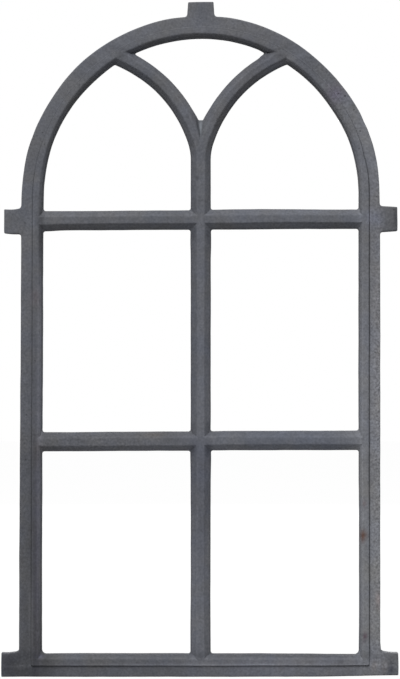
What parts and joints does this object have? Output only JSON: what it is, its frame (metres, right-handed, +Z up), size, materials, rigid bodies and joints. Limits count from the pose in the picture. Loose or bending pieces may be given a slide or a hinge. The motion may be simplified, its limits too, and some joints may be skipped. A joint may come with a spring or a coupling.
{
  "type": "cast iron barn window",
  "caption": "Round-headed barn window cast in one piece of iron, with bevelled glazing bars, forked tracery in the head and lugs to build it into a wall; unglazed.",
  "frame": {"origin": "middle of the sill's underside, in the plane of the glass seat half-way through the casting's depth", "axes": "+X to the right seen from the front, +Y from the front into the wall, +Z up"},
  "size_m": [0.45, 0.02, 0.772],
  "materials": {
    "cast_iron": "satin slate-grey sand-cast iron, faintly mottled, with a few rust spots"
  },
  "bodies": {
    "root": {"window_casting": "cast_iron"}
  },
  "joints": []
}
